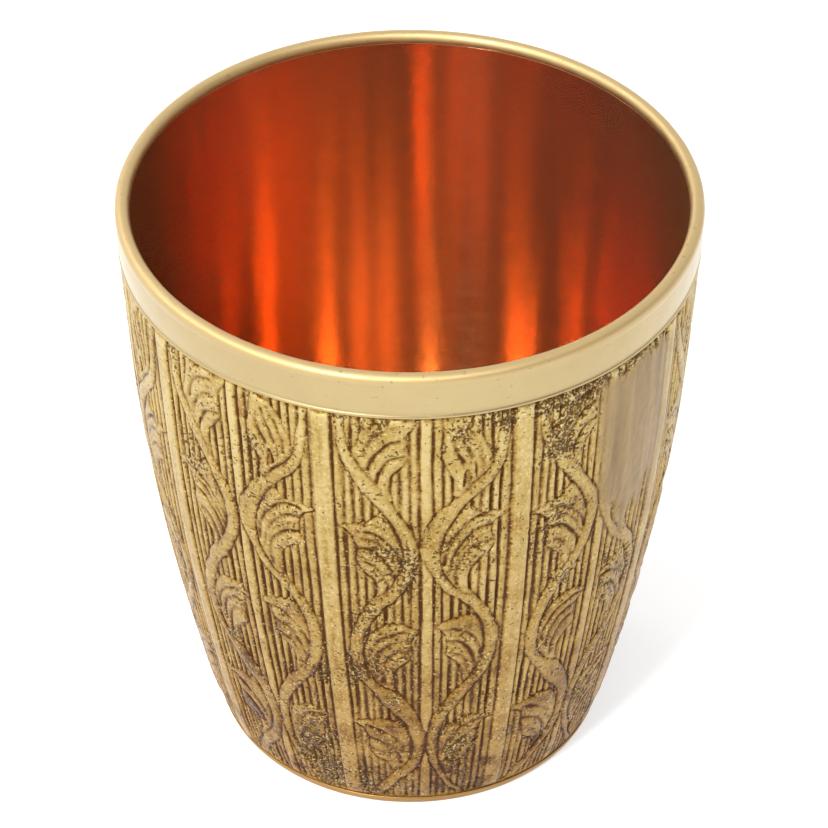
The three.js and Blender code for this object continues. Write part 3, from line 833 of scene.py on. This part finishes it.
def rounded(points, radius=0.06, steps=4):
    """Rounds the corners of a closed (r, z) loop so that its edges shade crisply."""
    p = [np.array(q, float) for q in points]
    out = []
    for i, q in enumerate(p):
        a, b = p[i - 1] - q, p[(i + 1) % len(p)] - q
        la, lb = np.linalg.norm(a), np.linalg.norm(b)
        bend = math.degrees(math.acos(np.clip(np.dot(a, b) / (la * lb), -1, 1)))
        if bend > 150:
            out.append(tuple(q))
            continue
        d = min(radius, 0.45 * la, 0.45 * lb)
        s, e = q + a / la * d, q + b / lb * d
        for t in np.linspace(0, 1, steps + 1):
            out.append(tuple((1 - t) ** 2 * s + 2 * t * (1 - t) * q + t * t * e))
    return out


def band_profile():
    """The collar: a small bead at its lower edge, plain face, rounded lip, thin skirt."""
    o = lambda z, d=0.0: (float(outline(z)) + d, z)
    pts = [o(81.3, -0.50), o(81.3, -0.24), o(81.42, -0.14)]
    pts += [o(z, 0.015 - 0.12 * ((z - 81.68) / 0.24) ** 2) for z in (81.50, 81.59, 81.68, 81.77, 81.88)]
    pts += [o(82.00, -0.165), o(82.12, -0.175), o(82.26, -0.135), o(82.40, -0.10)]
    pts += [o(z, -0.09 + 0.06 * math.sin((z - 82.3) / 5.0 * math.pi)) for z in np.arange(82.6, 86.9, 0.25)]
    # lip: rolls over from the face to the inside
    pts += [(39.955, 87.0), (39.965, 87.25), (39.95, 87.5), (39.90, 87.74), (39.81, 87.95), (39.68, 88.12),
            (39.50, 88.25), (39.28, 88.34), (39.05, 88.385), (38.82, 88.39), (38.63, 88.365), (38.46, 88.30),
            (38.32, 88.20), (38.20, 88.06), (38.10, 87.89), (38.02, 87.69), (37.965, 87.48), (37.93, 87.26),
            (37.92, 87.08), (37.935, 86.98)]
    pts += [(37.99, 86.935), (38.30, 86.935), o(86.935, -0.58), o(84.0, -0.56), o(81.9, -0.54)]
    return rounded(pts, 0.05)


def make_band():
    def wobble(A, R, Z):
        f = smoothstep(R, 36.5, 38.0)
        R = R + f * (0.030 * noise(A, Z, 14.0, 9.0, 71) + 0.012 * noise(A, Z, 4.0, 4.0, 72)) - 0.042 * f
        Z = Z + f * 0.02 * noise(A, Z * 0, 20.0, 9.0, 73) * (Z < 83)
        return np.minimum(R, 39.995), np.minimum(Z, 88.398)

    return lathe("tumbler_band", band_profile(), 720, wobble)


def make_liner():
    """Spun cup: closed round-cornered floor, faint spinning lines, thin wall."""
    zs = np.concatenate([np.arange(6.8, 84.0, 0.8), [84.6, 85.4, 86.0, 86.4, 86.65]])
    outside = [(0, 1.62), (12.0, 1.62), (22.8, 1.62), (24.6, 2.0), (25.9, 2.95), (26.8, 4.3), (27.6, 6.2)]
    outside += [(float(outline(z)) - 1.52, z) for z in np.arange(10, 86.6, 4.0)]
    top = float(outline(86.6))
    outside += [(top - 1.52, 86.76), (top - 1.54, 86.86), (top - 1.60, 86.90), (top - 1.86, 86.90),
                (top - 1.93, 86.88), (top - 1.95, 86.82)]
    inside = [(float(outline(z)) - 1.95, z) for z in zs[::-1] if z < 86.7]
    corner = resample([(27.28, 6.3), (26.9, 5.3), (26.4, 4.5), (25.75, 3.6), (24.95, 2.9), (24.0, 2.45), (22.7, 2.15)], 0.3)
    floor = [(r, 2.05 + 0.10 * (r / 22.7) ** 4) for r in np.arange(22.2, 0.3, -0.7)] + [(0, 2.05)]

    def wobble(A, R, Z):
        ins = ((R < outline(Z) - 1.7) & (Z > 1.9)).astype(float)
        g = ins * smoothstep(Z, 4.0, 12.0) * smoothstep(-Z, -86.4, -84.0)
        R = R + g * (0.035 * noise(A, Z, 16.0, 40.0, 81) + 0.022 * noise(A, Z, 7.0, 60.0, 82)
                     + 0.006 * noise(A, Z, 4.0, 9.0, 83) + 0.003 * np.sin(Z * 2 * math.pi / 1.6))
        return R, Z

    return lathe("tumbler_liner", outside + inside + corner + floor, 480, wobble)


def make_foot():
    o0 = float(outline(0.0))
    pts = [(25.7, 0.25), (25.82, 0.07), (26.05, 0.0), (26.5, 0.0), (o0 - 0.45, 0.0), (o0 - 0.27, 0.02), (o0 - 0.14, 0.09),
           (o0 - 0.05, 0.22), (o0 + 0.02, 0.40)]
    pts += [(float(outline(z)) - 0.02, z) for z in np.arange(0.55, 1.5, 0.12)]
    pts += [(float(outline(1.55)) - 0.06, 1.56), (float(outline(1.6)) - 0.16, 1.60), (27.2, 1.60), (26.2, 1.6), (25.78, 1.6), (25.7, 1.5)]

    def wobble(A, R, Z):
        f = smoothstep(R, 26.8, 27.3)
        return R - f * (0.02 + 0.02 * noise(A, Z, 12.0, 3.0, 91)), Z

    return lathe("tumbler_foot", pts, 480, wobble)


brass_polished, brass_turned, solder = polished_brass(), turned_brass(), solder_grey()
wall = settle(make_wall(), cast_brass(), ["embossed_wall"])
band = settle(make_band(), brass_polished, ["rim_band"])
liner = settle(make_liner(), spun_copper(), ["copper_liner"])
foot = settle(make_foot(), foot_brass(), ["foot_ring"])
for node, mat in (("base_disc", brass_turned), ("rim_solder", solder), ("base_solder", solder)):
    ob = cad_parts[node]
    if ob.material_slots:
        for s in ob.material_slots:
            s.material = mat
    else:
        ob.data.materials.append(mat)

# =====================================================================================
# Floor, light, camera
# =====================================================================================
scene = bpy.context.scene
floor_me = bpy.data.meshes.new("studio_floor")
S = 2.5
floor_me.from_pydata([(-S, -S, 0), (S, -S, 0), (S, S, 0), (-S, S, 0)], [], [(0, 1, 2, 3)])
floor = bpy.data.objects.new("studio_floor", floor_me)
floor_me.materials.append(floor_white())
scene.collection.objects.link(floor)


def softbox(name, az, elev, wide, high, radiance, dist=2.2, color=(1, 1, 1), aim=(0, 0, 0.045)):
    """A soft rectangular light at azimuth az (0 = front) and elevation elev; its size is
    given as the angle it covers, its strength as the brightness of its face."""
    d = bpy.data.lights.new(name, "AREA")
    d.shape = "RECTANGLE"
    w = 2 * dist * math.tan(math.radians(wide / 2))
    h = 2 * dist * math.tan(math.radians(high / 2))
    d.size, d.size_y, d.energy, d.color = w, h, radiance * math.pi * w * h, color
    ob = bpy.data.objects.new(name, d)
    a, e = math.radians(az), math.radians(elev)
    p = Vector(aim) + dist * Vector((math.sin(a) * math.cos(e), -math.cos(a) * math.cos(e), math.sin(e)))
    ob.location = p
    ob.rotation_euler = (Vector(aim) - p).to_track_quat("-Z", "Y").to_euler()
    scene.collection.objects.link(ob)
    return ob


softbox("top", 0, 89, 40, 40, 0.6)
softbox("key", -30, 46, 10, 14, 84.0)
softbox("veil", 30, 60, 15, 15, 5.0)
softbox("side_left", -97, 38, 18, 14, 9.0)
softbox("back_left", -137, 40, 14, 14, 6.5)

world = bpy.data.worlds.new("studio")
world.use_nodes = True
wt = world.node_tree
bg = wt.nodes["Background"]
bg.inputs["Strength"].default_value = 1.0
w_tc = wt.nodes.new("ShaderNodeTexCoord")
w_sep = wt.nodes.new("ShaderNodeSeparateXYZ")
w_ramp = wt.nodes.new("ShaderNodeValToRGB")
wt.links.new(w_tc.outputs["Generated"], w_sep.inputs[0])
wt.links.new(w_sep.outputs["Z"], w_ramp.inputs["Fac"])
wt.links.new(w_ramp.outputs["Color"], bg.inputs["Color"])
els = w_ramp.color_ramp.elements
els[0].position, els[0].color = 0.16, (1.0, 1.0, 1.0, 1)      # white sweep near the horizon
els[1].position, els[1].color = 0.78, (0.70, 0.70, 0.72, 1)   # a little darker overhead
for p, v in ((0.44, 1.28), (0.67, 1.28)):
    w_ramp.color_ramp.elements.new(p).color = (v, v, v * 1.02, 1)
# the room is dim from just above the horizon, between the front (-Y) and the right (+X)
def w_step(value, lo, hi):
    n = wt.nodes.new("ShaderNodeMapRange")
    n.interpolation_type = "SMOOTHSTEP"
    n.inputs["From Min"].default_value, n.inputs["From Max"].default_value = lo, hi
    wt.links.new(value, n.inputs["Value"])
    return n.outputs[0]


def w_times(p, q):
    n = wt.nodes.new("ShaderNodeMath")
    n.operation = "MULTIPLY"
    wt.links.new(p, n.inputs[0])
    if isinstance(q, float):
        n.inputs[1].default_value = q
    else:
        wt.links.new(q, n.inputs[1])
    return n.outputs[0]


w_dot = wt.nodes.new("ShaderNodeVectorMath")
w_dot.operation = "DOT_PRODUCT"
w_dot.inputs[1].default_value = (0.77, -0.638, 0.0)
wt.links.new(w_tc.outputs["Generated"], w_dot.inputs[0])
dim = w_times(w_step(w_dot.outputs["Value"], 0.30, 0.62), w_step(w_sep.outputs["Z"], 0.13, 0.28))
dim = w_times(w_times(dim, w_step(w_sep.outputs["Z"], 0.80, 0.66)), 0.70)
w_mix = wt.nodes.new("ShaderNodeMix")
w_mix.data_type = "RGBA"
wt.links.new(dim, w_mix.inputs[0])
wt.links.new(w_ramp.outputs["Color"], w_mix.inputs[6])
w_mix.inputs[7].default_value = (0.02, 0.02, 0.02, 1)
wt.links.new(w_mix.outputs[2], bg.inputs["Color"])
scene.world = world

cam_data = bpy.data.cameras.new("camera")
cam_data.sensor_width = 36.0
cam_data.lens = 4135.0 / 828.0 * 36.0
cam_data.shift_x = 4.2 / 828.0
cam_data.clip_start = 0.01
cam = bpy.data.objects.new("camera", cam_data)
cam.location = (0.0, -0.4503, 0.4207)
cam.rotation_euler = (math.radians(90 - 39.48), 0, 0)
scene.collection.objects.link(cam)
scene.camera = cam

scene.view_settings.view_transform = "Standard"
scene.view_settings.look = "None"
scene.cycles.max_bounces = 24
scene.cycles.glossy_bounces = 20
scene.cycles.diffuse_bounces = 4
